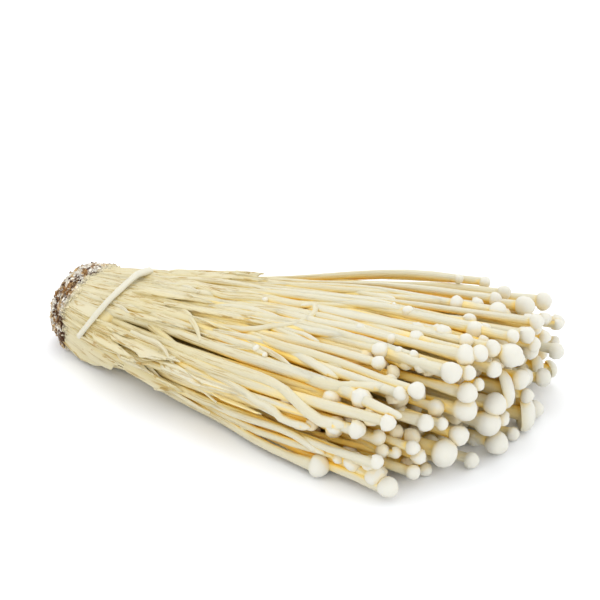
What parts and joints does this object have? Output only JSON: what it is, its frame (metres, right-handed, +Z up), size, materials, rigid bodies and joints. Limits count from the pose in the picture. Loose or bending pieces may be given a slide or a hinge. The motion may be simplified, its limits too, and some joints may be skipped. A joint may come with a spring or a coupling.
{
  "type": "enoki mushroom bunch",
  "caption": "Bunch of enoki mushrooms lying on its side: a fused root mass with a brown crusted base fans out into long thin pale stems with small round caps.",
  "frame": {"origin": "under the middle of the bunch's bounding box, on the surface that it lies on", "axes": "+X from the brown base to the caps along the bunch, +Z up through its thickness"},
  "size_m": [0.1774, 0.1026, 0.0388],
  "materials": {
    "mushroom_flesh": "soft satin, slightly translucent, cream white",
    "root_crust": "dry, matt, crumbly, mottled tan and brown"
  },
  "bodies": {
    "root": {"mushroom_bunch": "mushroom_flesh", "root_crust": "root_crust", "stem_across_base": "mushroom_flesh"}
  },
  "joints": []
}
